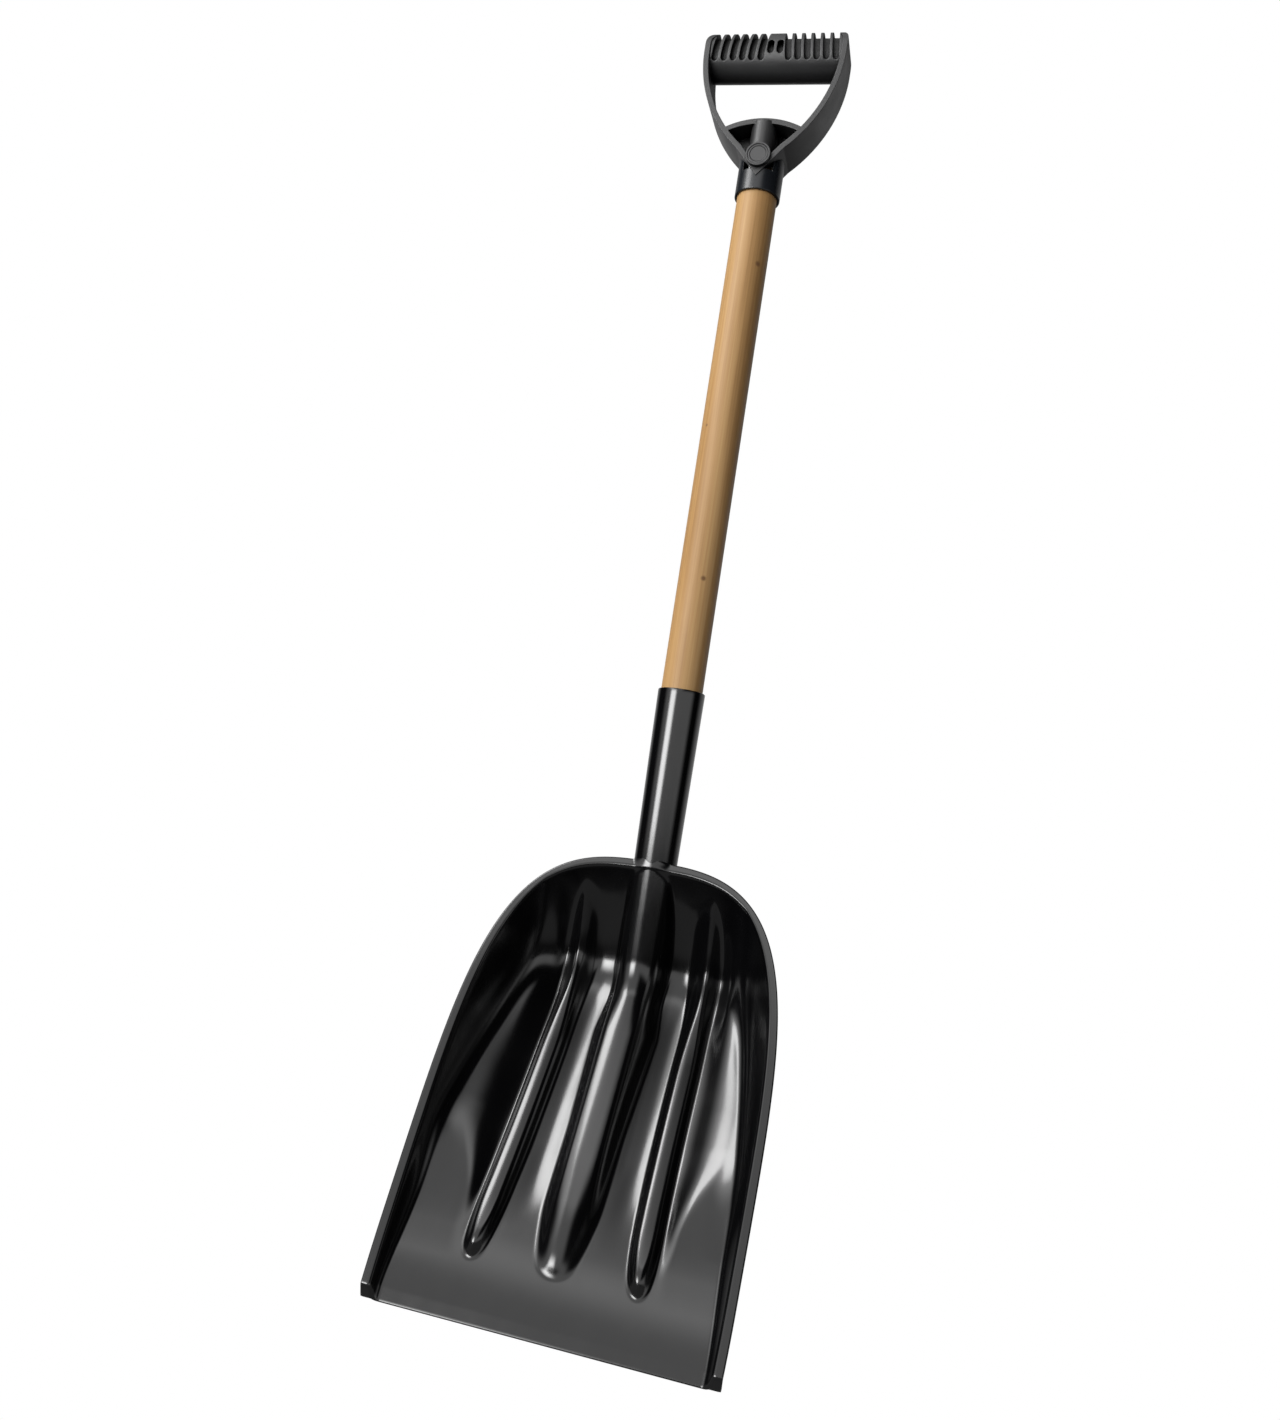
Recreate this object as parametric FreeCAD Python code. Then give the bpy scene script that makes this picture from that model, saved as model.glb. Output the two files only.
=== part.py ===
import FreeCAD, Part
import math
import os

# Snow shovel with a moulded scoop, a wooden shaft and a D-shaped grip. Millimetres.
# X runs across the scoop, Z runs up along the shaft, and the scoop is hollow towards -Y.
# The origin is the middle of the leading edge's end face.
# The scoop is drawn on its rim plane: s runs along the plane from the leading edge to the
# rear, and depth runs square to the plane, into the scoop.

# Overall layout
AXIS_Y = 168.0           # shaft axis behind the leading edge
MOUTH_Z = 540.0          # mouth of the blade's socket
LIFT = 23.7              # angle between the rim plane and the shaft, degrees
SHAFT_R = 20.0
SHAFT_END_R = 1.5
FIT_GAP = 0.1            # free space between fitted pieces

# Scoop outline on the rim plane
SCOOP_LENGTH = 407.0
HALF_WIDTH = 148.5
WIDEST_S = 57.0          # the outline is widest here and narrows towards the rear
FRONT_PULL = 1.0         # how much narrower each side is at the leading edge
REAR_POWER = 4.1         # powers of the rounded rear outline
SIDE_POWER = 3.0

# Scoop section
WALL = 3.2
RIM_BAND = 8.0
EDGE_DEPTH = 8.8         # floor below the rim plane at the leading edge
EDGE_BEVEL = 1.2
BEVEL_LENGTH = 12.0
CORNER_DIP_S = 9.0       # the rim bends down to the floor over this last stretch
CORNER_DIP_SLOPE = 0.9
FRONT_SLOPE = 0.085
FLOOR_BEND_S = 42.0      # the floor falls away faster behind the rib tips
FLOOR_SLOPE = 0.233
REAR_STEP = 20.0         # depth of the rear slope at the inner edge of the rim
REAR_SLOPE = 0.75
KNEE_BLEND = 34.0
SIDE_SLOPE = 2.4
SIDE_BLEND = 7.0         # rounding at the foot of the side walls, at the leading edge
SIDE_BLEND_GROWTH = 0.06

# Panels beside the side walls, raised over the floor between the ribs
PANEL_HEIGHT = 15.0
PANEL_RISE = (45.0, 175.0)
PANEL_X = 88.0           # inner border of the panel at the rear
PANEL_BULGE = 16.0       # how far the border swings out in the middle of the scoop
PANEL_BULGE_RISE = (347.0, 207.0)
PANEL_TAPER = 14.0       # how far it comes back in towards the tips
PANEL_TAPER_RISE = (167.0, 97.0)
PANEL_FOOT = 11.7        # outer foot of the side ribs from their middle line

# Gentle hollows of the floor between the ribs and beside the side walls
DISH_START = (85.0, 150.0)
DISH_END = (235.0, 300.0)
TROUGH_X = 40.0
TROUGH_HALF_WIDTH = 14.0
TROUGH_DISH = 2.0
WALL_DISH_X = 100.0
WALL_DISH_R = 75.0

# Raised ribs. A flat-topped rib has steep flanks and a rounded shoulder.
RIB_BLEND = 6.0
RIB_SHOULDER = 5.0
NOSE_S = 72.0            # the ribs fall in a curve from here to their tips
TIP_S = 44.0
SIDE_RIB_X = 61.5
SIDE_RIB_SPREAD = 8.0    # side ribs stand this much further out at their tips
SIDE_RIB_SPREAD_S = 55.0
SIDE_RIB_CLOSE_S = 110.0
SIDE_RIB_HEIGHT = 10.0
SIDE_RIB_KNEE = 34.0
SIDE_RIB_TAPER_S = 100.0
SIDE_RIB_TAPER = 0.2
SIDE_RIB_RISE = 3.0      # extra height on the rear slope
SIDE_RIB_RISE_S = (240.0, 340.0)
SIDE_RIB_SHARPEN = (230.0, 335.0)
SIDE_RIB_FLAT = (7.5, 2.0)      # half width of the top, in front and on the rear slope
SIDE_RIB_CROWN = (28.0, 12.0)
SIDE_RIB_FLANK = (2.4, 1.1)
CENTRE_RIB_DEPTH = 5.0   # crest line at the tip, before the nose falls away
CENTRE_RIB_SLOPE = 0.133
CENTRE_RIB_S = 47.0
CENTRE_RIB_FLAT = 13.5
CENTRE_RIB_TAPER_S = 105.0
CENTRE_RIB_TAPER = 0.28
CENTRE_RIB_CROWN = (20.0, 38.0)
CENTRE_RIB_CROWN_S = (80.0, 150.0)
CENTRE_RIB_FLANK = (1.5, 2.2)
CENTRE_RIB_FLANK_S = (80.0, 180.0)
TUBE_BLEND = 10.0        # crest line where it meets the socket tube
TUBE_RISE = (255.0, 305.0)
TUBE_SHARE = 0.96        # the tube is round out to this share of its radius

# Socket tube
SOCKET_MOUTH_R = 22.6
SOCKET_TAPER = 0.0133    # radius lost per millimetre down the tube
SOCKET_WALL = 2.5
SOCKET_FOOT_Z = 288.0
SHAFT_FOOT_Z = 362.0
RUN_OUT = 28.0           # slope of the tube's back where it ends, degrees
RUN_OUT_Y = AXIS_Y - 8.0   # back of the tube at its foot
RUN_OUT_TOP_Z = 346.0
BORE_FOOT_Z = 298.0
SOCKET_LIP_R = 0.8
SOCKET_SCREW_Z = 496.0
SOCKET_SCREW_GAP = 0.3

# Grip
FERRULE_Z = 1043.0
FERRULE_TOP_Z = 1082.0
FERRULE_R = 22.7
FERRULE_ROUND = 0.8
SHOULDER_Z = 1064.0      # full shaft ends here, a turned tenon goes on
TENON_R = 11.0
TENON_TOP_Z = 1096.0
TENON_WALL = 3.0         # wall of the grip round the tenon
GRIP_FRONT = 23.6        # grip plates reach this far in front of the shaft axis
GRIP_BACK = 19.5
PLATE = 5.4
GRIP_POINT_Z = 1056.0    # lower point of the V-shaped front
SHOULDER_POINT = (24.0, 1085.0)
ARM_MIDDLE = (56.0, 1126.0)
ARM_TOP = (72.0, 1194.0)
GRIP_TOP_Z = 1219.0
CORNER_R = 18.0
ARCH_MIDDLE_Z = 1116.5
ARCH_END = (40.0, 1106.5)
BAR_Z = 1195.7
BAR_Y = AXIS_Y - 2.0
BAR_DEPTH_R = 20.0
BAR_HEIGHT_R = 24.8
BAR_WALL = 5.5
SLOT_COUNT = 14
SLOT_PITCH = 9.5
SLOT_WIDTH = 6.6
SLOT_FOOT_Z = 1182.5
SLOT_LENGTH = 60.0       # the long slots run out over the top of the bar
SLOT_OVERRUN = 4.0       # slots are cut this much past the front and back
SLOT_FAN = 6.0           # outer slots lean towards the middle, degrees
SHORT_SLOT_RAISE = 6.0
SHORT_SLOT_LENGTH = 11.0
SHORT_SLOT_DEPTH = 14.0
WEB = 4.0                # thin web that closes the V below the arch
BOSS_R = 12.3
HUB_HALF = 15.0          # the ferrule is cut away in front over this half width
BOSS_Z = 1076.5
BOSS_FRONT = 27.6
CAP_R = 10.4
CAP_THICK = 1.6
CAP_SUNK = 0.4           # cap's face below the boss's rim
CAP_ROUND = 0.5
NOSE_SETBACK = 0.8       # upright part over the boss, behind the boss's face

SCREW_R = 2.4
SCREW_HEAD_R = 4.4
SCREW_HEAD_HEIGHT = 2.6
SCREW_LENGTH = 26.0
SCREW_TIP = 5.0
SCREW_HEAD_ROUND = 1.2
PILOT_GAP = 0.05
DRIVE_WIDTH = 1.0        # cross recess in the head
DRIVE_DEPTH = 0.6
DRIVE_LENGTH = 5.0

X_STEP = 2.0
S_STEP = 3.0
SHEET_MARGIN = 6.0
STEEPEST = 2.6           # the wall is thickened for slopes up to this

SIN_LIFT = math.sin(math.radians(LIFT))
COS_LIFT = math.cos(math.radians(LIFT))
EDGE_MIDDLE_DEPTH = EDGE_DEPTH + EDGE_BEVEL + 0.5 * (WALL - EDGE_BEVEL)


def vec(x, y, z):
    return FreeCAD.Vector(x, y, z)


def on_scoop(x, s, depth):
    """Point from scoop coordinates."""
    below = depth - EDGE_MIDDLE_DEPTH
    return vec(x, s * SIN_LIFT + below * COS_LIFT, s * COS_LIFT - below * SIN_LIFT)


def smooth_min(a, b, blend):
    overlap = max(blend - abs(a - b), 0.0) / blend
    return min(a, b) - overlap * overlap * blend / 4.0


def smooth_max(a, b, blend):
    return -smooth_min(-a, -b, blend)


def half_width(s):
    """Outer edge of the rim at s."""
    if s < WIDEST_S:
        return HALF_WIDTH - FRONT_PULL * ((WIDEST_S - s) / WIDEST_S) ** 2
    t = min((s - WIDEST_S) / (SCOOP_LENGTH - WIDEST_S), 1.0)
    return HALF_WIDTH * (1.0 - t ** REAR_POWER) ** (1.0 / SIDE_POWER)


def rear_end(x):
    """Rear end of the rim at distance x from the middle."""
    t = max(1.0 - (min(x, HALF_WIDTH) / HALF_WIDTH) ** SIDE_POWER, 0.0)
    return WIDEST_S + (SCOOP_LENGTH - WIDEST_S) * t ** (1.0 / REAR_POWER)


def step(first, last, s):
    """0 before the first place and 1 after the last, smooth between. Runs either way."""
    t = min(max((s - first) / (last - first), 0.0), 1.0)
    return t * t * (3.0 - 2.0 * t)


def between(pair, share):
    return pair[0] + (pair[1] - pair[0]) * share


def round_drop(distance, radius):
    """How far a round ridge falls at a distance from its crest, with straight flanks below."""
    turn = min(distance, TUBE_SHARE * radius)
    flank = TUBE_SHARE / math.sqrt(1.0 - TUBE_SHARE * TUBE_SHARE)
    return radius - math.sqrt(radius * radius - turn * turn) + (distance - turn) * flank


def rib_drop(distance, flat, crown, flank):
    """How far a lightly crowned top with steep flanks falls away from its crest."""
    return smooth_max(distance * distance / (2.0 * crown), flank * (distance - flat), RIB_SHOULDER)


def nose(s):
    """1 along a rib, falling in a curve to 0 at its front tip."""
    return 1.0 - (max(NOSE_S - s, 0.0) / (NOSE_S - TIP_S)) ** 4


def floor_depth(s, raised, knee):
    """Floor and rear slope, raised by a height, with a rounded knee between them."""
    bevel = EDGE_BEVEL * min(max(1.0 - s / BEVEL_LENGTH, 0.0), 1.2)
    steeper = smooth_max(0.0, (FLOOR_SLOPE - FRONT_SLOPE) * (s - FLOOR_BEND_S), 2.0)
    floor = EDGE_DEPTH + bevel + FRONT_SLOPE * s + steeper
    rear = REAR_STEP + REAR_SLOPE * (SCOOP_LENGTH - RIM_BAND - s)
    return smooth_min(floor - raised, rear - raised, knee)


def wall_depth(x, s):
    """Side and rear walls: one steep slope up to the inner edge of the rim."""
    side_gap = half_width(s) - RIM_BAND - x
    rear_gap = rear_end(x) - RIM_BAND - s
    gap = min(side_gap, rear_gap)
    if gap > 0.0:
        gap = side_gap * rear_gap / math.hypot(side_gap, rear_gap)
    return SIDE_SLOPE * gap


def side_rib_middle(s):
    return SIDE_RIB_X + SIDE_RIB_SPREAD * math.exp((SIDE_RIB_SPREAD_S - s) / SIDE_RIB_CLOSE_S)


def raised_panel(x, s):
    """Height of the panels beside the side walls over the floor between the ribs."""
    foot = side_rib_middle(s) + PANEL_FOOT
    border = PANEL_X + PANEL_BULGE * step(*PANEL_BULGE_RISE, s)
    border -= PANEL_TAPER * step(*PANEL_TAPER_RISE, s)
    share = smooth_min(1.0, smooth_max(0.0, (x - foot) / (border - foot), 0.4), 0.4)
    return PANEL_HEIGHT * step(*PANEL_RISE, s) * share


def dish(x, s):
    """Gentle rise of the floor beside the side walls, and fall between the ribs."""
    middle = step(*DISH_START, s) * (1.0 - step(*DISH_END, s))
    beside = max(x - WALL_DISH_X, 0.0) ** 2 / (2.0 * WALL_DISH_R)
    across = (x - TROUGH_X) / TROUGH_HALF_WIDTH
    fall = TROUGH_DISH * max(1.0 - across * across, 0.0)
    return (beside - fall) * middle


def side_rib(x, s):
    sharp = step(*SIDE_RIB_SHARPEN, s)
    height = (SIDE_RIB_HEIGHT + SIDE_RIB_RISE * step(*SIDE_RIB_RISE_S, s)) * nose(s)
    crest = floor_depth(s, height, SIDE_RIB_KNEE)
    taper = SIDE_RIB_TAPER * max(SIDE_RIB_TAPER_S - s, 0.0)
    distance = math.hypot(x - side_rib_middle(s), taper)
    flat = between(SIDE_RIB_FLAT, sharp)
    crown = between(SIDE_RIB_CROWN, sharp)
    return crest + rib_drop(distance, flat, crown, between(SIDE_RIB_FLANK, sharp))


def tube_front(s):
    """Front of the socket tube's middle line, below the rim plane, and its radius there."""
    radius = socket_radius(s * COS_LIFT)
    axis = AXIS_Y + EDGE_MIDDLE_DEPTH * COS_LIFT - s * SIN_LIFT
    return (axis - radius) / COS_LIFT, radius


def centre_rib(x, s):
    tube, tube_radius = tube_front(s)
    line = CENTRE_RIB_DEPTH + CENTRE_RIB_SLOPE * (s - CENTRE_RIB_S)
    floor = floor_depth(s, 0.0, KNEE_BLEND)
    crest = smooth_min(line + (floor - line) * (1.0 - nose(s)), tube, TUBE_BLEND)
    distance = math.hypot(x, CENTRE_RIB_TAPER * max(CENTRE_RIB_TAPER_S - s, 0.0))
    crown = between(CENTRE_RIB_CROWN, step(*CENTRE_RIB_CROWN_S, s))
    flank = between(CENTRE_RIB_FLANK, step(*CENTRE_RIB_FLANK_S, s))
    flat_topped = rib_drop(distance, CENTRE_RIB_FLAT, crown, flank)
    return crest + between((flat_topped, round_drop(x, tube_radius)), step(*TUBE_RISE, s))


def scoop_depth(x, s):
    """Depth of the scoop's inner surface below the rim plane."""
    across = abs(x)
    base = floor_depth(s, raised_panel(across, s) + dish(across, s), KNEE_BLEND)
    walled = smooth_min(base, wall_depth(across, s), SIDE_BLEND + SIDE_BLEND_GROWTH * s)
    ribbed = smooth_min(walled, side_rib(across, s), RIB_BLEND)
    rim = smooth_max(0.0, CORNER_DIP_SLOPE * (CORNER_DIP_S - s), 1.0)
    banded = smooth_max(ribbed, rim, 3.0)
    return smooth_min(banded, centre_rib(across, s), RIB_BLEND)


def back_depth(x, s):
    """Depth of the back surface, one wall thickness behind the inner surface."""
    dx = (scoop_depth(x + 1.0, s) - scoop_depth(x - 1.0, s)) / 2.0
    ds = (scoop_depth(x, s + 1.0) - scoop_depth(x, s - 1.0)) / 2.0
    steep = math.sqrt(1.0 + dx * dx + ds * ds)
    thin = EDGE_BEVEL * max(1.0 - s / BEVEL_LENGTH, 0.0)
    return scoop_depth(x, s) + WALL * min(steep, STEEPEST) - thin


def sheet(depth_at):
    """One smooth face through the depths on a regular grid."""
    x_count = int(2 * (HALF_WIDTH + SHEET_MARGIN) / X_STEP)
    s_count = int((SCOOP_LENGTH + 2 * SHEET_MARGIN) / S_STEP)
    grid = []
    for i in range(x_count + 1):
        x = -HALF_WIDTH - SHEET_MARGIN + 2 * (HALF_WIDTH + SHEET_MARGIN) * i / x_count
        row = []
        for j in range(s_count + 1):
            s = -SHEET_MARGIN + (SCOOP_LENGTH + 2 * SHEET_MARGIN) * j / s_count
            row.append(on_scoop(x, s, depth_at(x, s)))
        grid.append(row)
    surface = Part.BSplineSurface()
    surface.interpolate(grid)
    return surface


def border(surface, side):
    first_u, last_u, first_v, last_v = surface.bounds()
    if side == 0:
        return surface.vIso(first_v).toShape()
    if side == 1:
        return surface.vIso(last_v).toShape()
    if side == 2:
        return surface.uIso(first_u).toShape()
    return surface.uIso(last_u).toShape()


def outline_prism():
    """Everything inside the scoop's outline, square to the rim plane."""
    steps = 24
    top, height = -40.0, 160.0
    right = [(half_width(0.0), 0.0), (half_width(0.5 * WIDEST_S), 0.5 * WIDEST_S)]
    for i in range(steps + 1):
        turn = 0.5 * math.pi * i / steps
        t = math.sin(turn) ** (2.0 / REAR_POWER)
        x = HALF_WIDTH * math.cos(turn) ** (2.0 / SIDE_POWER) if i < steps else 0.0
        right.append((x, WIDEST_S + (SCOOP_LENGTH - WIDEST_S) * t))
    left = [(-x, s) for x, s in reversed(right[:-1])]
    curve = Part.BSplineCurve()
    curve.interpolate([on_scoop(x, s, top) for x, s in right + left])
    closing = Part.makeLine(on_scoop(-right[0][0], 0.0, top), on_scoop(right[0][0], 0.0, top))
    face = Part.Face(Part.Wire([curve.toShape(), closing]))
    return face.extrude(vec(0, COS_LIFT, -SIN_LIFT) * height)


def scoop():
    front = sheet(scoop_depth)
    back = sheet(back_depth)
    faces = [front.toShape(), back.toShape()]
    for side in range(4):
        faces.append(Part.makeRuledSurface(border(front, side), border(back, side)))
    shell = Part.makeShell(faces)
    shell.sewShape()
    slab = Part.makeSolid(shell)
    if slab.Volume < 0:
        slab.reverse()
    return slab.common(outline_prism())


def socket_radius(z):
    return SOCKET_MOUTH_R - SOCKET_TAPER * (MOUTH_Z - z)


def cone(r_low, r_high, z_low, z_high, y=AXIS_Y):
    return Part.makeCone(r_low, r_high, z_high - z_low, vec(0, y, z_low), vec(0, 0, 1))


def round_bar(radius, z_low, z_high, y=AXIS_Y):
    return Part.makeCylinder(radius, z_high - z_low, vec(0, y, z_low), vec(0, 0, 1))


def along_y(radius, y_start, y_end, z, x=0.0):
    """Cylinder along Y between two Y values."""
    low = min(y_start, y_end)
    return Part.makeCylinder(radius, abs(y_end - y_start), vec(x, low, z), vec(0, 1, 0))


def socket_bore(z_low):
    top = MOUTH_Z + 1.0
    return cone(
        socket_radius(z_low) - SOCKET_WALL, socket_radius(top) - SOCKET_WALL, z_low, top
    )


def run_out():
    """Space behind the foot of the tube, where its back slopes away into the scoop."""
    width, depth, height = 80.0, 80.0, 160.0
    space = Part.makeBox(width, depth, height, vec(-0.5 * width, 0, -0.25 * height))
    space.rotate(vec(0, 0, 0), vec(1, 0, 0), -RUN_OUT)
    space.translate(vec(0, RUN_OUT_Y, SOCKET_FOOT_Z))
    above = Part.makeBox(2 * width, 3 * depth, height, vec(-width, 0, RUN_OUT_TOP_Z))
    return space.cut(above)


def socket_tube():
    tube = cone(socket_radius(SOCKET_FOOT_Z), SOCKET_MOUTH_R, SOCKET_FOOT_Z, MOUTH_Z)
    lip_edges = [e for e in tube.Edges if abs(e.CenterOfMass.z - MOUTH_Z) < 0.01]
    return tube.makeFillet(SOCKET_LIP_R, lip_edges).cut(run_out())


def blade():
    """Scoop and socket tube, moulded in one piece."""
    body = scoop().fuse(socket_tube())
    body = body.cut(socket_bore(BORE_FOOT_Z))
    hole = along_y(SCREW_R + FIT_GAP, AXIS_Y, AXIS_Y + 2 * SHAFT_R, SOCKET_SCREW_Z)
    return largest_solid(body.cut(hole))


def largest_solid(shape):
    return max(shape.Solids, key=lambda solid: solid.Volume)


def screw(y_head, towards, z):
    """Round-headed wood screw along Y. Its head's underside is at y_head."""
    tip_y = y_head + towards * (SCREW_LENGTH - SCREW_TIP)
    shank = along_y(SCREW_R, y_head, tip_y, z)
    tip = Part.makeCone(SCREW_R, 0.2 * SCREW_R, SCREW_TIP, vec(0, tip_y, z), vec(0, towards, 0))
    outer_y = y_head - towards * SCREW_HEAD_HEIGHT
    head = along_y(SCREW_HEAD_R, y_head, outer_y, z)
    outer = [e for e in head.Edges if abs(e.CenterOfMass.y - outer_y) < 0.01]
    head = head.makeFillet(SCREW_HEAD_ROUND, outer)
    body = head.fuse(shank).fuse(tip)
    for width, height in ((DRIVE_WIDTH, DRIVE_LENGTH), (DRIVE_LENGTH, DRIVE_WIDTH)):
        corner = vec(-0.5 * width, outer_y - DRIVE_DEPTH, z - 0.5 * height)
        body = body.cut(Part.makeBox(width, 2 * DRIVE_DEPTH, height, corner))
    return largest_solid(body)


def cap_back_y():
    return AXIS_Y - BOSS_FRONT + CAP_SUNK + CAP_THICK


def grip_screw_head_y():
    return cap_back_y() + SCREW_HEAD_HEIGHT + FIT_GAP


def socket_screw_head_y():
    return AXIS_Y + socket_radius(SOCKET_SCREW_Z) + SOCKET_SCREW_GAP


def shaft():
    foot_r = socket_radius(SHAFT_FOOT_Z) - SOCKET_WALL - FIT_GAP
    body = cone(foot_r, SHAFT_R, SHAFT_FOOT_Z, MOUTH_Z)
    body = body.fuse(round_bar(SHAFT_R, MOUTH_Z, SHOULDER_Z))
    body = body.fuse(round_bar(TENON_R, SHOULDER_Z, TENON_TOP_Z))
    ends = [e for e in body.Edges if abs(e.CenterOfMass.z - SHAFT_FOOT_Z) < 0.01]
    body = body.makeFillet(SHAFT_END_R, ends)
    pilot = SCREW_R + PILOT_GAP
    y_front = grip_screw_head_y()
    body = body.cut(along_y(pilot, y_front, y_front + SCREW_LENGTH + 1.0, BOSS_Z))
    y_back = socket_screw_head_y()
    body = body.cut(along_y(pilot, y_back, y_back - SCREW_LENGTH - 1.0, SOCKET_SCREW_Z))
    return largest_solid(body)


def flat_face(edges, y):
    face = Part.Face(Part.Wire(edges))
    face.translate(vec(0, y, 0))
    return face


def flat_point(x, z):
    return vec(x, 0, z)


def plate_between(edges, front=GRIP_FRONT, back=GRIP_BACK):
    """Flat outline in X and Z, drawn out along Y."""
    return flat_face(edges, AXIS_Y - front).extrude(vec(0, front + back, 0))


def grip_outline():
    """Outside of the D, from the lower point round both arms and over the top."""
    point = flat_point(0, GRIP_POINT_Z)
    top_side = flat_point(ARM_TOP[0], GRIP_TOP_Z - CORNER_R)
    corner = CORNER_R * (1.0 - math.sqrt(0.5))
    edges = []
    for side in (1, -1):
        shoulder = flat_point(side * SHOULDER_POINT[0], SHOULDER_POINT[1])
        arm = flat_point(side * ARM_MIDDLE[0], ARM_MIDDLE[1])
        arm_top = flat_point(side * ARM_TOP[0], ARM_TOP[1])
        bend = flat_point(side * (ARM_TOP[0] - corner), GRIP_TOP_Z - corner)
        crown = flat_point(side * (ARM_TOP[0] - CORNER_R), GRIP_TOP_Z)
        edges.append(Part.makeLine(point, shoulder))
        edges.append(Part.Arc(shoulder, arm, arm_top).toShape())
        side_end = flat_point(side * ARM_TOP[0], top_side.z)
        edges.append(Part.makeLine(arm_top, side_end))
        edges.append(Part.Arc(side_end, bend, crown).toShape())
    left = flat_point(-ARM_TOP[0] + CORNER_R, GRIP_TOP_Z)
    right = flat_point(ARM_TOP[0] - CORNER_R, GRIP_TOP_Z)
    edges.append(Part.makeLine(left, right))
    return Part.__sortEdges__(edges)


def slot_cutter(index):
    """One long hole over the top of the hand bar. The two middle ones are short."""
    across = (index - 0.5 * (SLOT_COUNT - 1)) * SLOT_PITCH
    half = 0.5 * SLOT_WIDTH
    start = AXIS_Y - GRIP_FRONT - SLOT_OVERRUN
    if abs(across) < SLOT_PITCH:
        foot_z = SLOT_FOOT_Z + SHORT_SLOT_RAISE
        top_z = foot_z + SHORT_SLOT_LENGTH
        end = start + SHORT_SLOT_DEPTH
        cutter = slot_block(across, start, end, foot_z + half, top_z)
        return cutter.fuse(along_y(half, start, end, top_z, across))
    end = AXIS_Y + GRIP_FRONT + SLOT_OVERRUN
    cutter = slot_block(across, start, end, SLOT_FOOT_Z + half, SLOT_FOOT_Z + SLOT_LENGTH)
    lean = -SLOT_FAN if across > 0 else SLOT_FAN
    cutter.rotate(vec(across, AXIS_Y, SLOT_FOOT_Z), vec(0, 1, 0), lean)
    return cutter


def slot_block(across, y_start, y_end, z_low, z_high):
    """Straight slot along Y with a round foot."""
    corner = vec(across - 0.5 * SLOT_WIDTH, y_start, z_low)
    block = Part.makeBox(SLOT_WIDTH, y_end - y_start, z_high - z_low, corner)
    return block.fuse(along_y(0.5 * SLOT_WIDTH, y_start, y_end, z_low, across))


def bar_oval(depth_r, height_r, half_length):
    """Oval bar along X."""
    major = max(depth_r, height_r)
    minor = min(depth_r, height_r)
    oval = Part.Ellipse(
        vec(-half_length, BAR_Y, BAR_Z + major),
        vec(-half_length, BAR_Y - minor, BAR_Z),
        vec(-half_length, BAR_Y, BAR_Z),
    )
    return Part.Face(Part.Wire([oval.toShape()])).extrude(vec(2 * half_length, 0, 0))


def rounded_top(depth_r, height_r):
    """Everything below the hand bar's middle, and an oval over it from arm to arm."""
    low = Part.makeBox(
        2 * ARM_TOP[0], 2 * depth_r, BAR_Z - FERRULE_Z, vec(-ARM_TOP[0], BAR_Y - depth_r, FERRULE_Z)
    )
    return low.fuse(bar_oval(depth_r, height_r, ARM_TOP[0]))


def add_hand_bar(frame):
    """Closes the frame with the hand bar. Slots cut the bar and frame down to a core."""
    outside = plate_between(grip_outline())
    length = ARM_TOP[0] - 0.5 * PLATE
    core = bar_oval(BAR_DEPTH_R - BAR_WALL, BAR_HEIGHT_R - BAR_WALL, length)
    body = frame.fuse(bar_oval(BAR_DEPTH_R, BAR_HEIGHT_R, length).common(outside))
    body = body.common(rounded_top(0.5 * (GRIP_FRONT + GRIP_BACK), GRIP_TOP_Z - BAR_Z))
    for index in range(SLOT_COUNT):
        body = body.cut(slot_cutter(index))
    return body.fuse(core.common(outside))


def inset(edges, distance):
    return Part.Wire(edges).makeOffset2D(-distance).Edges


def above_arch():
    """Everything above the arch that closes the D below the hand."""
    far = 1.25 * ARM_TOP[0]
    low_z, high_z = GRIP_POINT_Z, GRIP_TOP_Z + PLATE
    corners = [(ARCH_END[0], ARCH_END[1]), (far, low_z), (far, high_z), (-far, high_z)]
    corners += [(-far, low_z), (-ARCH_END[0], ARCH_END[1])]
    points = [flat_point(x, z) for x, z in corners]
    edges = [Part.makeLine(a, b) for a, b in zip(points, points[1:])]
    edges.append(Part.Arc(points[-1], flat_point(0, ARCH_MIDDLE_Z), points[0]).toShape())
    return plate_between(edges, GRIP_FRONT + 1, GRIP_BACK + 1)


def grip_shell():
    """D-shaped frame with the arch below the hand, and a web in the V below the arch."""
    hollow = plate_between(inset(grip_outline(), PLATE), GRIP_FRONT + 1, GRIP_BACK + 1)
    above = above_arch()
    below = above.copy()
    below.translate(vec(0, 0, -PLATE))
    pocket = hollow.cut(below)
    frame = plate_between(grip_outline()).cut(hollow.common(above)).cut(pocket)
    corner = vec(-ARM_TOP[0], AXIS_Y - 0.5 * WEB, GRIP_POINT_Z)
    web = Part.makeBox(2 * ARM_TOP[0], WEB, ARCH_MIDDLE_Z - GRIP_POINT_Z, corner)
    return frame.fuse(web.common(pocket)), hollow.common(above), pocket


def grip_hub():
    """Round boss for the cap with an upright over it, and the sleeve round the tenon."""
    sleeve = round_bar(TENON_R + TENON_WALL, SHOULDER_Z + 1.0, ARCH_MIDDLE_Z - 2.0)
    nose_y = AXIS_Y - BOSS_FRONT + BOSS_R + NOSE_SETBACK
    upright = round_bar(BOSS_R, BOSS_Z, ARCH_MIDDLE_Z - 3.0, nose_y)
    boss = along_y(BOSS_R, AXIS_Y - BOSS_FRONT, AXIS_Y - 1.0, BOSS_Z)
    return sleeve.fuse(upright).fuse(boss)


def front_space(half_width_x, z_low):
    """Space in front of the shaft axis, from a height up."""
    reach = 60.0
    return Part.makeBox(2 * half_width_x, reach, reach, vec(-half_width_x, AXIS_Y - reach, z_low))


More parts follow.
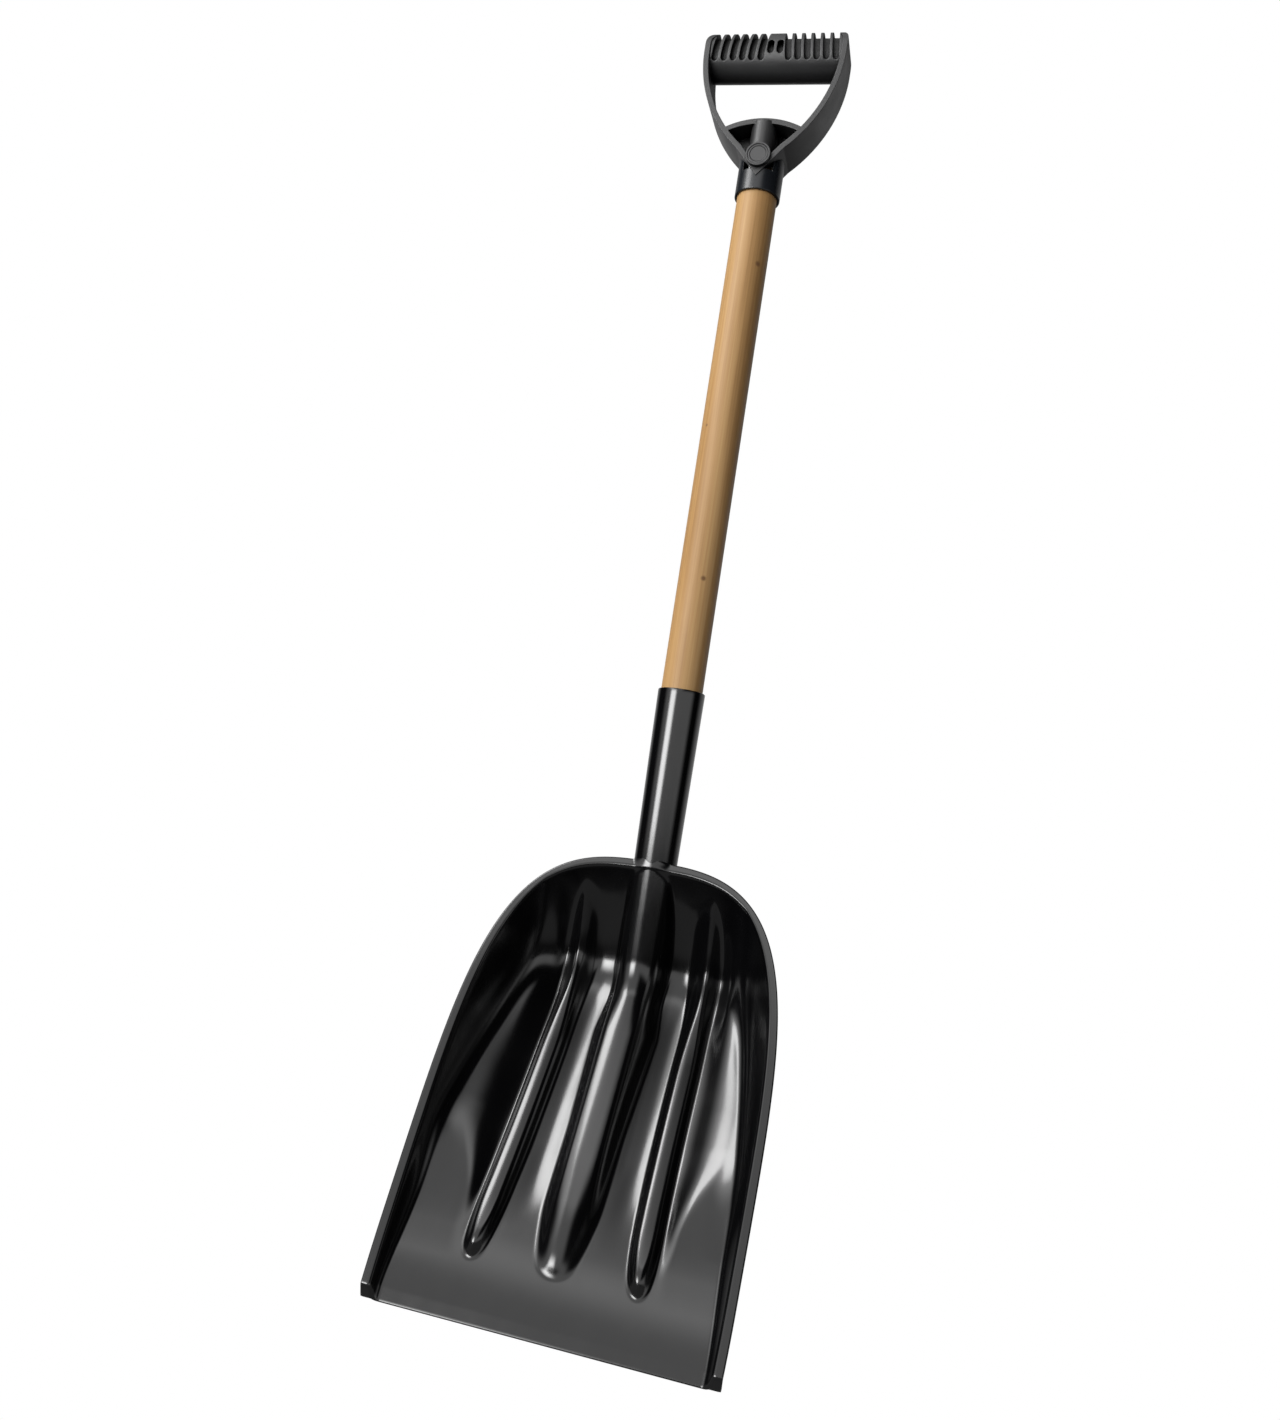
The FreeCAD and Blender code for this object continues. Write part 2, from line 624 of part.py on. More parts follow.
def grip():
    body, opening, pocket = grip_shell()
    body = add_hand_bar(body.cut(opening)).fuse(grip_hub().cut(opening))
    collar = round_bar(FERRULE_R + FIT_GAP, FERRULE_Z - 5.0, FERRULE_TOP_Z)
    body = body.cut(collar.cut(pocket.common(front_space(HUB_HALF, SHOULDER_Z + 1.0))))
    body = body.cut(round_bar(SHAFT_R + FIT_GAP, FERRULE_Z - 5.0, SHOULDER_Z + FIT_GAP))
    body = body.cut(round_bar(TENON_R + FIT_GAP, SHOULDER_Z - 1.0, TENON_TOP_Z + 1.0))
    front_y = AXIS_Y - BOSS_FRONT
    body = body.cut(along_y(CAP_R + FIT_GAP, front_y - 1.0, cap_back_y(), BOSS_Z))
    body = body.cut(along_y(SCREW_HEAD_R + FIT_GAP, front_y, grip_screw_head_y(), BOSS_Z))
    body = body.cut(along_y(SCREW_R + FIT_GAP, front_y, AXIS_Y, BOSS_Z))
    return largest_solid(body)


def ferrule():
    body = round_bar(FERRULE_R, FERRULE_Z, FERRULE_TOP_Z)
    rims = [e for e in body.Edges if abs(e.CenterOfMass.z - FERRULE_Z) < 0.01]
    body = body.makeFillet(FERRULE_ROUND, rims)
    body = body.cut(round_bar(SHAFT_R + FIT_GAP, FERRULE_Z - 1.0, FERRULE_TOP_Z + 1.0))
    return largest_solid(body.cut(front_space(HUB_HALF + FIT_GAP, SHOULDER_Z + 0.5)))


def grip_cap():
    face_y = cap_back_y() - CAP_THICK
    disc = along_y(CAP_R, face_y, cap_back_y(), BOSS_Z)
    outer = [e for e in disc.Edges if abs(e.CenterOfMass.y - face_y) < 0.01]
    return disc.makeFillet(CAP_ROUND, outer)


def build():
    return {
        "blade": blade(),
        "shaft": shaft(),
        "ferrule": ferrule(),
        "grip": grip(),
        "grip_screw": screw(grip_screw_head_y(), 1, BOSS_Z),
        "grip_cap": grip_cap(),
        "socket_screw": screw(socket_screw_head_y(), -1, SOCKET_SCREW_Z),
    }


os.makedirs("parts", exist_ok=True)
for name, shape in build().items():
    shape.exportStep(os.path.join("parts", name + ".step"))
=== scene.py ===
import math

import bpy
import numpy as np
from mathutils import Matrix, Vector


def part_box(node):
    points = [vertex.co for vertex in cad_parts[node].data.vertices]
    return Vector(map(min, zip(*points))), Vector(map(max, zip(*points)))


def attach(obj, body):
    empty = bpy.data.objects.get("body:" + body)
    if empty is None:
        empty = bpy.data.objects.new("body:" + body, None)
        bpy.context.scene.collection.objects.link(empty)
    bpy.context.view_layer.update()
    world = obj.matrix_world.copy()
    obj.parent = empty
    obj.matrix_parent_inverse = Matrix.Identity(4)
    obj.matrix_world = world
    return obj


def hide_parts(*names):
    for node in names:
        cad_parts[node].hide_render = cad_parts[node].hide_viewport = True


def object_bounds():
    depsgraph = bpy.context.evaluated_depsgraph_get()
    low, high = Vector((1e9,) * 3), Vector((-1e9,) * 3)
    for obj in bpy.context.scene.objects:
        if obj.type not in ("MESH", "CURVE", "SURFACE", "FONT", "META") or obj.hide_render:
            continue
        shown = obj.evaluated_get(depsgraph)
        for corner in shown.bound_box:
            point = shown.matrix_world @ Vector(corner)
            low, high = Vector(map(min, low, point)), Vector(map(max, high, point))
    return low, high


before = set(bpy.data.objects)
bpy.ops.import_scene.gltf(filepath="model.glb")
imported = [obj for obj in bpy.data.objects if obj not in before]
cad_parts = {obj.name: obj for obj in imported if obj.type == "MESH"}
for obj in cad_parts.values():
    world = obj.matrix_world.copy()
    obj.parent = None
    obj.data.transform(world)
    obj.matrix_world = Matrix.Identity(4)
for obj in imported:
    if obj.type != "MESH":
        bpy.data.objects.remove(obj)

cad_low, cad_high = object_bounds()
MM = 0.001

# ---------------------------------------------------------------------------
# Sizes, in millimetres. On the scoop, s runs over the rim plane from the
# leading edge to the rear, and depth runs square to the plane, into the scoop.

AXIS_Y = 168.0           # shaft axis behind the leading edge
MOUTH_Z = 540.0          # mouth of the blade's socket
LIFT = math.radians(23.7)   # angle between the rim plane and the shaft
SHAFT_R = 20.0

SCOOP_LENGTH = 407.0
HALF_WIDTH = 148.5
WIDEST_S = 57.0          # the outline is widest here and narrows towards the rear
FRONT_PULL = 1.0         # how much narrower each side is at the leading edge
REAR_POWER = 4.1         # powers of the rounded rear outline
SIDE_POWER = 3.0

WALL = 3.2
EDGE_ROUND = 1.1         # rounding of the sheet's border
MOST_ROUNDING = 0.45     # and at most this share of its thickness
RIM_BAND = 8.0
EDGE_DEPTH = 8.8         # floor below the rim plane at the leading edge
EDGE_BEVEL = 1.2
BEVEL_LENGTH = 12.0
BEVEL_OVERRUN = 1.2      # the bevel goes on a little past the leading edge
CORNER_DIP_S = 9.0       # the rim bends down to the floor over this last stretch
CORNER_DIP_SLOPE = 0.9
CORNER_DIP_BLEND = 1.0
RIM_BLEND = 3.0
FRONT_SLOPE = 0.085
FLOOR_BEND_S = 42.0      # the floor falls away faster behind the rib tips
FLOOR_BEND_BLEND = 4.0
FLOOR_SLOPE = 0.233
REAR_STEP = 20.0         # depth of the rear slope at the inner edge of the rim
REAR_SLOPE = 0.75
KNEE_BLEND = 34.0
SIDE_SLOPE = 2.4
SIDE_BLEND = 7.0         # rounding at the foot of the side walls, at the leading edge
SIDE_BLEND_GROWTH = 0.06

# Raised panels beside the side walls
PANEL_HEIGHT = 15.0
PANEL_RISE = (45.0, 175.0)
PANEL_X = 88.0           # inner border of the panel at the rear
PANEL_BULGE = 16.0       # how far the border swings out in the middle of the scoop
PANEL_BULGE_RISE = (347.0, 207.0)
PANEL_TAPER = 14.0       # how far it comes back in towards the tips
PANEL_TAPER_RISE = (167.0, 97.0)
PANEL_FOOT = 11.7        # outer foot of the side ribs from their middle line
PANEL_BLEND = 0.4

# Hollow curves of the floor beside the walls and between the ribs
WALL_DISH_START = (85.0, 150.0)
WALL_DISH_END = (235.0, 300.0)
WALL_DISH_X = 100.0
WALL_DISH_R = 75.0
TROUGH_START = (70.0, 150.0)
TROUGH_X = 40.0
TROUGH_HALF_WIDTH = 16.0
TROUGH_DISH = 2.2
TROUGH_POWER = 1.5

# Ribs. Pairs named FLAT, CROWN and FLANK give a value in front and one further back, and the
# other pairs are stretches of s, over which a value changes.
RIB_BLEND = 6.0
RIB_SHOULDER = 5.0
NOSE_S = 72.0            # the ribs fall in a curve from here to their tips
TIP_S = 44.0
NOSE_POWER = 4
SIDE_RIB_X = 61.5
SIDE_RIB_SPREAD = 8.0    # side ribs stand this much further out at their tips
SIDE_RIB_SPREAD_S = 55.0
SIDE_RIB_CLOSE_S = 110.0
SIDE_RIB_HEIGHT = 10.0
SIDE_RIB_KNEE = 34.0
SIDE_RIB_TAPER_S = 100.0
SIDE_RIB_TAPER = 0.2
SIDE_RIB_RISE = 3.0      # extra height on the rear slope
SIDE_RIB_RISE_S = (240.0, 340.0)
SIDE_RIB_SHARPEN = (230.0, 335.0)
SIDE_RIB_FLAT = (7.5, 2.0)
SIDE_RIB_CROWN = (28.0, 12.0)
SIDE_RIB_FLANK = (2.4, 1.1)
CENTRE_RIB_DEPTH = 5.0   # crest line at the tip, before the nose falls away
CENTRE_RIB_SLOPE = 0.133
CENTRE_RIB_S = 47.0
CENTRE_RIB_FLAT = 13.5
CENTRE_RIB_TAPER_S = 105.0
CENTRE_RIB_TAPER = 0.28
CENTRE_RIB_CROWN = (20.0, 38.0)
CENTRE_RIB_CROWN_S = (80.0, 150.0)
CENTRE_RIB_FLANK = (1.5, 2.2)
CENTRE_RIB_FLANK_S = (80.0, 180.0)
TUBE_BLEND = 10.0        # crest line where it meets the socket tube
TUBE_RISE = (255.0, 305.0)
TUBE_SHARE = 0.96        # the tube is round out to this share of its radius

# Socket tube
SOCKET_MOUTH_R = 22.6
SOCKET_TAPER = 0.0133    # radius lost per millimetre down the tube
SOCKET_WALL = 2.5
SOCKET_FOOT_Z = 288.0
SOCKET_LIP_R = 1.0
SOCKET_BORE = 60.0       # depth of the open mouth, which the shaft fills
SOCKET_BREAK = 0.4       # broken inner edge of the mouth
RUN_OUT_TOP_Z = 348.0    # the tube's back slopes forward below this height
RUN_OUT_SLOPE = 0.9 * math.tan(math.radians(28.0))
RUN_OUT_Y = AXIS_Y - 8.0

SIN_LIFT = math.sin(LIFT)
COS_LIFT = math.cos(LIFT)
EDGE_MIDDLE_DEPTH = EDGE_DEPTH + EDGE_BEVEL + 0.5 * (WALL - EDGE_BEVEL)

# Fineness of the two meshes
GRID = (211, 291)
ROUNDING_STEPS = 4
TUBE_SIDES = 128
TUBE_ROWS = 90
NORMAL_STEP = 0.3
TINY = 0.001             # keeps a division away from zero


# ---------------------------------------------------------------------------
# Scoop shape


def smooth_min(a, b, blend):
    overlap = np.maximum(blend - np.abs(a - b), 0.0) / blend
    return np.minimum(a, b) - overlap * overlap * blend / 4.0


def smooth_max(a, b, blend):
    return -smooth_min(-a, -b, blend)


def flowing_min(a, b, blend):
    """Like smooth_min, but its curvature also changes without a break."""
    reach = blend / (4.0 * math.log(2.0))
    return -reach * np.logaddexp(-a / reach, -b / reach)


def step(stretch, value):
    """0 at the first end of a stretch, 1 at the other, smooth between them."""
    low, high = stretch
    t = np.clip((value - low) / (high - low), 0.0, 1.0)
    return t * t * (3.0 - 2.0 * t)


def between(pair, share):
    first, last = pair
    return first + (last - first) * share


def half_width(s):
    front = HALF_WIDTH - FRONT_PULL * ((WIDEST_S - s) / WIDEST_S) ** 2
    t = np.clip((s - WIDEST_S) / (SCOOP_LENGTH - WIDEST_S), 0.0, 1.0)
    rear = HALF_WIDTH * (1.0 - t ** REAR_POWER) ** (1.0 / SIDE_POWER)
    return np.where(s < WIDEST_S, front, rear)


def rear_end(x):
    t = np.clip(1.0 - (np.minimum(x, HALF_WIDTH) / HALF_WIDTH) ** SIDE_POWER, 0.0, 1.0)
    return WIDEST_S + (SCOOP_LENGTH - WIDEST_S) * t ** (1.0 / REAR_POWER)


def round_drop(distance, radius, share):
    """How far a round ridge falls away from its crest, with straight flanks below."""
    turn = share * radius
    inside = np.minimum(distance, turn)
    flank = share / np.sqrt(1.0 - share * share)
    drop = radius - np.sqrt(radius * radius - inside * inside)
    return drop + (distance - inside) * flank


def rib_drop(distance, flat, crown, flank):
    """How far a lightly crowned top with steep flanks falls away from its crest."""
    return smooth_max(distance * distance / (2.0 * crown), flank * (distance - flat), RIB_SHOULDER)


def floor_depth(s, raised, knee):
    """Floor and rear slope, raised by a distance, with a rounded knee between them."""
    bevel = EDGE_BEVEL * np.clip(1.0 - s / BEVEL_LENGTH, 0.0, BEVEL_OVERRUN)
    steeper = smooth_max(0.0, (FLOOR_SLOPE - FRONT_SLOPE) * (s - FLOOR_BEND_S), FLOOR_BEND_BLEND)
    floor = EDGE_DEPTH + bevel + FRONT_SLOPE * s + steeper
    rear = REAR_STEP + REAR_SLOPE * (SCOOP_LENGTH - RIM_BAND - s)
    return flowing_min(floor - raised, rear - raised, knee)


def wall_depth(x, s):
    """Side and rear walls: a steep slope up to the inner edge of the rim."""
    side_gap = half_width(s) - RIM_BAND - x
    rear_gap = rear_end(x) - RIM_BAND - s
    both = np.maximum(side_gap, 0.0) * np.maximum(rear_gap, 0.0)
    inside = both / np.maximum(np.hypot(side_gap, rear_gap), TINY)
    nearest = np.minimum(side_gap, rear_gap)
    return SIDE_SLOPE * np.where(nearest > 0.0, inside, nearest)


def side_rib_middle(s):
    return SIDE_RIB_X + SIDE_RIB_SPREAD * np.exp(-(s - SIDE_RIB_SPREAD_S) / SIDE_RIB_CLOSE_S)


def raised_panel(x, s):
    """Height of the panels beside the side walls over the floor between the ribs."""
    foot = side_rib_middle(s) + PANEL_FOOT
    crest = PANEL_X + PANEL_BULGE * step(PANEL_BULGE_RISE, s) - PANEL_TAPER * step(PANEL_TAPER_RISE, s)
    climb = smooth_max(0.0, (x - foot) / (crest - foot), PANEL_BLEND)
    return PANEL_HEIGHT * step(PANEL_RISE, s) * smooth_min(1.0, climb, PANEL_BLEND)


def dish(x, s):
    """Gentle rise of the floor beside the side walls, and fall between the ribs."""
    middle = step(WALL_DISH_START, s) * (1.0 - step(WALL_DISH_END, s))
    beside = np.maximum(x - WALL_DISH_X, 0.0) ** 2 / (2.0 * WALL_DISH_R)
    across = (x - TROUGH_X) / TROUGH_HALF_WIDTH
    hollow = TROUGH_DISH * np.maximum(1.0 - across * across, 0.0) ** TROUGH_POWER
    return beside * middle - hollow * step(TROUGH_START, s)


def nose(s):
    """1 along a rib, falling in a curve to 0 at its front tip."""
    return 1.0 - (np.maximum(NOSE_S - s, 0.0) / (NOSE_S - TIP_S)) ** NOSE_POWER


def side_rib(x, s):
    rear_share = step(SIDE_RIB_SHARPEN, s)
    height = SIDE_RIB_HEIGHT + SIDE_RIB_RISE * step(SIDE_RIB_RISE_S, s)
    crest = floor_depth(s, 0.0, SIDE_RIB_KNEE) - height * nose(s)
    taper = SIDE_RIB_TAPER * np.maximum(SIDE_RIB_TAPER_S - s, 0.0)
    distance = np.hypot(x - side_rib_middle(s), taper)
    flat = between(SIDE_RIB_FLAT, rear_share)
    crown = between(SIDE_RIB_CROWN, rear_share)
    return crest + rib_drop(distance, flat, crown, between(SIDE_RIB_FLANK, rear_share))


def socket_radius(z):
    return SOCKET_MOUTH_R - SOCKET_TAPER * (MOUTH_Z - z)


def tube_front(s):
    """Front of the socket tube's middle line, below the rim plane, and its radius there."""
    radius = socket_radius(s * COS_LIFT)
    axis = AXIS_Y + EDGE_MIDDLE_DEPTH * COS_LIFT - s * SIN_LIFT
    return (axis - radius) / COS_LIFT, radius


def centre_rib(x, s):
    tube, tube_radius = tube_front(s)
    line = CENTRE_RIB_DEPTH + CENTRE_RIB_SLOPE * (s - CENTRE_RIB_S)
    floor = floor_depth(s, 0.0, KNEE_BLEND)
    crest = smooth_min(line + (floor - line) * (1.0 - nose(s)), tube, TUBE_BLEND)
    distance = np.hypot(x, CENTRE_RIB_TAPER * np.maximum(CENTRE_RIB_TAPER_S - s, 0.0))
    crown = between(CENTRE_RIB_CROWN, step(CENTRE_RIB_CROWN_S, s))
    flank = between(CENTRE_RIB_FLANK, step(CENTRE_RIB_FLANK_S, s))
    drop = rib_drop(distance, CENTRE_RIB_FLAT, crown, flank)
    on_tube = step(TUBE_RISE, s)
    return crest + drop * (1.0 - on_tube) + round_drop(x, tube_radius, TUBE_SHARE) * on_tube


def scoop_depth(x, s):
    across = np.abs(x)
    base = floor_depth(s, raised_panel(across, s) + dish(across, s), KNEE_BLEND)
    walled = smooth_min(base, wall_depth(across, s), SIDE_BLEND + SIDE_BLEND_GROWTH * s)
    ribbed = smooth_min(walled, side_rib(across, s), RIB_BLEND)
    rim = smooth_max(0.0, CORNER_DIP_SLOPE * (CORNER_DIP_S - s), CORNER_DIP_BLEND)
    banded = smooth_max(ribbed, rim, RIM_BLEND)
    return smooth_min(banded, centre_rib(across, s), RIB_BLEND)


def on_scoop(x, s, depth):
    below = depth - EDGE_MIDDLE_DEPTH
    y = s * SIN_LIFT + below * COS_LIFT
    z = s * COS_LIFT - below * SIN_LIFT
    return np.stack([x, y, z], axis=-1)


def scoop_normal(x, s):
    """Unit normal of the scoop's inner surface, towards the open side."""
    h = NORMAL_STEP
    across = on_scoop(x + h, s, scoop_depth(x + h, s)) - on_scoop(x - h, s, scoop_depth(x - h, s))
    along = on_scoop(x, s + h, scoop_depth(x, s + h)) - on_scoop(x, s - h, scoop_depth(x, s - h))
    normal = np.cross(across, along)
    return normal / np.linalg.norm(normal, axis=-1, keepdims=True)


# ---------------------------------------------------------------------------
# Meshes


def scoop_grid(columns, rows, inset):
    """x and s of a grid that fills the scoop's outline, drawn in by inset."""
    p, q = np.meshgrid(np.linspace(-1.0, 1.0, columns), np.linspace(0.0, 1.0, rows))
    s_plain = q * SCOOP_LENGTH
    t = np.clip((s_plain - WIDEST_S) / (SCOOP_LENGTH - WIDEST_S), 0.0, 1.0)
    x_rear = p * HALF_WIDTH * (1.0 - 0.5 * t ** REAR_POWER) ** (1.0 / SIDE_POWER)
    t_rear = t * (1.0 - 0.5 * np.abs(p) ** SIDE_POWER) ** (1.0 / REAR_POWER)
    s_rear = WIDEST_S + (SCOOP_LENGTH - WIDEST_S) * t_rear
    in_front = s_plain < WIDEST_S
    x = np.where(in_front, p * half_width(s_plain), x_rear)
    s = np.where(in_front, s_plain, s_rear)
    x = x * (1.0 - inset / HALF_WIDTH)
    s = s + inset * (1.0 - 2.0 * s / SCOOP_LENGTH)
    return x, s


def mesh_object(name, points, faces, material, smooth=True):
    mesh = bpy.data.meshes.new(name)
    mesh.from_pydata([tuple(p) for p in points], [], faces)
    mesh.validate()
    mesh.polygons.foreach_set("use_smooth", [smooth] * len(mesh.polygons))
    mesh.materials.append(material)
    mesh.update()
    piece = bpy.data.objects.new(name, mesh)
    bpy.context.scene.collection.objects.link(piece)
    return piece


def grid_faces(columns, rows, start, flip):
    faces = []
    for j in range(rows - 1):
        for i in range(columns - 1):
            a = start + j * columns + i
            quad = (a, a + 1, a + columns + 1, a + columns)
            faces.append(quad[::-1] if flip else quad)
    return faces


def border_loop(columns, rows):
    """Grid indices once round the border: front, right, rear, left."""
    front = list(range(columns - 1))
    right = [j * columns + columns - 1 for j in range(rows - 1)]
    rear = [(rows - 1) * columns + i for i in range(columns - 1, 0, -1)]
    left = [j * columns for j in range(rows - 1, 0, -1)]
    return front + right + rear + left


def border_profile():
    """Rounded border of the sheet: (share outward, share down, side) from front to back."""
    turns = [0.5 * math.pi * k / ROUNDING_STEPS for k in range(ROUNDING_STEPS + 1)]
    front = [(math.sin(turn), 1.0 - math.cos(turn), 0.0) for turn in turns[1:]]
    back = [(math.cos(turn), math.sin(turn) - 1.0, 1.0) for turn in turns[:-1]]
    return front + back


def build_scoop(material):
    """The moulded sheet: front grid, back grid and a rounded border between them."""
    columns, rows = GRID
    x, s = scoop_grid(columns, rows, EDGE_ROUND)
    front = on_scoop(x, s, scoop_depth(x, s)).reshape(-1, 3)
    normal = scoop_normal(x, s).reshape(-1, 3)
    thick = WALL - EDGE_BEVEL * np.clip(1.0 - s / BEVEL_LENGTH, 0.0, 1.0).reshape(-1, 1)
    back = front - normal * thick
    loop = border_loop(columns, rows)
    count = len(loop)
    ring = front[loop]
    tangent = np.roll(ring, -1, axis=0) - np.roll(ring, 1, axis=0)
    outward = np.cross(tangent, normal[loop])
    outward /= np.linalg.norm(outward, axis=1, keepdims=True)
    profile = border_profile()
    radius = np.minimum(EDGE_ROUND, MOST_ROUNDING * thick[loop])
    points = [front, back]
    for out, down, side in profile:
        fall = down * radius + side * thick[loop]
        points.append(ring + outward * out * EDGE_ROUND - normal[loop] * fall)
    back_start = len(front)
    faces = grid_faces(columns, rows, 0, False) + grid_faces(columns, rows, back_start, True)
    rings = [loop]
    for k in range(len(profile)):
        first = 2 * back_start + k * count
        rings.append(list(range(first, first + count)))
    rings.append([back_start + i for i in loop])
    for upper, lower in zip(rings, rings[1:]):
        for i in range(count):
            j = (i + 1) % count
            faces.append((upper[j], upper[i], lower[i], lower[j]))
    return mesh_object("scoop", np.concatenate(points) * MM, faces, material)


def socket_outline():
    """(radius, z) of the turned tube, up its outside, over the lip and down the bore."""
    straight_top = MOUTH_Z - SOCKET_LIP_R
    outline = [(socket_radius(z), z) for z in np.linspace(SOCKET_FOOT_Z, straight_top, TUBE_ROWS)]
    for k in range(1, ROUNDING_STEPS + 1):
        turn = 0.5 * math.pi * k / ROUNDING_STEPS
        radius = SOCKET_MOUTH_R - SOCKET_LIP_R + SOCKET_LIP_R * math.cos(turn)
        outline.append((radius, straight_top + SOCKET_LIP_R * math.sin(turn)))
    bore_r = SOCKET_MOUTH_R - SOCKET_WALL
    bore_foot_z = MOUTH_Z - SOCKET_BORE
    outline.append((bore_r + SOCKET_BREAK, MOUTH_Z))
    outline.append((bore_r, MOUTH_Z - SOCKET_BREAK))
    outline.append((socket_radius(bore_foot_z) - SOCKET_WALL, bore_foot_z))
    return outline


def build_socket(material):
    """Socket tube: a turned shell with a rounded lip, its back running out into the scoop."""
    outline = socket_outline()
    points, faces = [], []
    for radius, z in outline:
        back_limit = RUN_OUT_Y + max(z - SOCKET_FOOT_Z, 0.0) * RUN_OUT_SLOPE
        for k in range(TUBE_SIDES):
            turn = 2.0 * math.pi * k / TUBE_SIDES
            y = AXIS_Y + radius * math.sin(turn)
            y = min(y, back_limit) if z < RUN_OUT_TOP_Z else y
            points.append((radius * math.cos(turn), y, z))
    for row in range(len(outline) - 1):
        for k in range(TUBE_SIDES):
            a = row * TUBE_SIDES + k
            b = row * TUBE_SIDES + (k + 1) % TUBE_SIDES
            faces.append((a, b, b + TUBE_SIDES, a + TUBE_SIDES))
    last = (len(outline) - 1) * TUBE_SIDES
    faces.append(tuple(range(TUBE_SIDES))[::-1])
    faces.append(tuple(range(last, last + TUBE_SIDES)))
    return mesh_object("socket_tube", np.array(points) * MM, faces, material)


# ---------------------------------------------------------------------------
# Node helpers


def new_material(name):
    material = bpy.data.materials.new(name)
    material.use_nodes = True
    tree = material.node_tree
    return material, tree, tree.nodes["Principled BSDF"]


def add(tree, kind, **values):
    node = tree.nodes.new(kind)
    for key, value in values.items():
        setattr(node, key, value)
    return node


def coordinates(tree, stretch=(1.0, 1.0, 1.0)):
    source = add(tree, "ShaderNodeTexCoord")
    mapping = add(tree, "ShaderNodeMapping")
    mapping.inputs["Scale"].default_value = stretch
    tree.links.new(source.outputs["Object"], mapping.inputs["Vector"])
    return mapping.outputs["Vector"]


def noise(tree, vector, scale, detail, rough=0.5):
    node = add(tree, "ShaderNodeTexNoise")
    node.inputs["Scale"].default_value = scale
    node.inputs["Detail"].default_value = detail
    node.inputs["Roughness"].default_value = rough
    tree.links.new(vector, node.inputs["Vector"])
    return node.outputs["Fac"]


def remap(tree, value, given, wanted, **settings):
    """Takes the range of values that is given to the range that is wanted."""
    node = add(tree, "ShaderNodeMapRange", **settings)
    node.inputs["From Min"].default_value, node.inputs["From Max"].default_value = given
    node.inputs["To Min"].default_value, node.inputs["To Max"].default_value = wanted
    tree.links.new(value, node.inputs["Value"])
    return node.outputs["Result"]


def ramp(tree, value, stops):
    node = add(tree, "ShaderNodeValToRGB")
    elements = node.color_ramp.elements
    while len(elements) < len(stops):
        elements.new(0.5)
    for element, (place, colour) in zip(elements, stops):
        element.position = place
        element.color = (*colour, 1.0)
    tree.links.new(value, node.inputs["Fac"])
    return node.outputs["Color"]


def math_node(tree, operation, *values):
    node = add(tree, "ShaderNodeMath", operation=operation)
    for socket, value in zip(node.inputs, values):
        if isinstance(value, float):
            socket.default_value = value
        else:
            tree.links.new(value, socket)
    return node.outputs[0]


def product(tree, first, *others):
    for other in others:
        first = math_node(tree, "MULTIPLY", first, other)
    return first


def mix_colour(tree, share, first, second, blend_type="MIX"):
    """Share, first and second are each another node's output, or a number or colour."""
    node = add(tree, "ShaderNodeMixRGB", blend_type=blend_type)
    for socket, value in zip(node.inputs, (share, first, second)):
        if isinstance(value, bpy.types.NodeSocket):
            tree.links.new(value, socket)
        else:
            socket.default_value = value
    return node.outputs["Color"]


def round_edges(tree, radius):
    """Normals that look as if edges were rounded to a radius."""
    edge = add(tree, "ShaderNodeBevel", samples=BEVEL_SAMPLES)
    edge.inputs["Radius"].default_value = radius
    return edge.outputs["Normal"]


def bump(tree, shader, height, strength, distance, edge_radius=0.0):
    """Fine relief on the surface, over edges that look rounded to a radius."""
    node = add(tree, "ShaderNodeBump")
    node.inputs["Strength"].default_value = strength
    node.inputs["Distance"].default_value = distance
    tree.links.new(height, node.inputs["Height"])
    if edge_radius > 0.0:
        tree.links.new(round_edges(tree, edge_radius), node.inputs["Normal"])
    tree.links.new(node.outputs["Normal"], shader.inputs["Normal"])


# ---------------------------------------------------------------------------
# Materials. Places and distances are in metres here.

SPAN = (0.3, 0.7)        # nearly all values of the noise lie between these
SMEAR_STRETCH = (1.0, 1.0, 0.35)
BROAD_STRETCH = (1.0, 1.0, 0.05)
FIBRE_STRETCH = (1.0, 1.0, 0.012)

BLADE_BLACK = (0.0014, 0.0014, 0.0016)
FERRULE_BLACK = (0.006, 0.007, 0.009)
GRIP_BLACK = (0.015, 0.015, 0.0155)
BLADE_ROUGHNESS = (0.12, 0.17)
FERRULE_ROUGHNESS = (0.22, 0.3)
GRIP_ROUGHNESS = 0.44
ROUGHNESS_DRIFT = 0.06
WORN_LIGHTER = 1.8       # worn edges are this much lighter
PAINTED_SHADE_REACH = 0.012     # how far the painted recess shade looks for walls round it
CAP_RING = (0.74, 0.82)  # the step in the cap's face, as shares of its radius
CAP_RING_DEPTH = 0.0012
BEVEL_SAMPLES = 6

WOOD_DARK = (0.215, 0.115, 0.040)
WOOD_MIDDLE = (0.28, 0.16, 0.062)
WOOD_LIGHT = (0.34, 0.21, 0.09)
WOOD_STOPS = (0.34, 0.5, 0.66)
WOOD_ROUGHNESS = (0.4, 0.5)
KNOT_BROWN = (0.13, 0.065, 0.028)
KNOTS = ((0.0138, 0.968, 0.0034), (0.0082, 0.648, 0.0032), (-0.012, 0.80, 0.0018))   # x, z, radius

ZINC_DARK = (0.42, 0.42, 0.43)
ZINC_LIGHT = (0.62, 0.62, 0.64)
ZINC_ROUGHNESS = (0.25, 0.45)


def two_tone(tree, cloud, dark, light):
    return ramp(tree, cloud, list(zip(SPAN, (dark, light))))


def cloudy_tint(tree, cloud, colour, darkest, lightest):
    """A colour that drifts between a darker and a lighter share of itself."""
    dark = [c * darkest for c in colour]
    light = [c * lightest for c in colour]
    return two_tone(tree, cloud, dark, light)


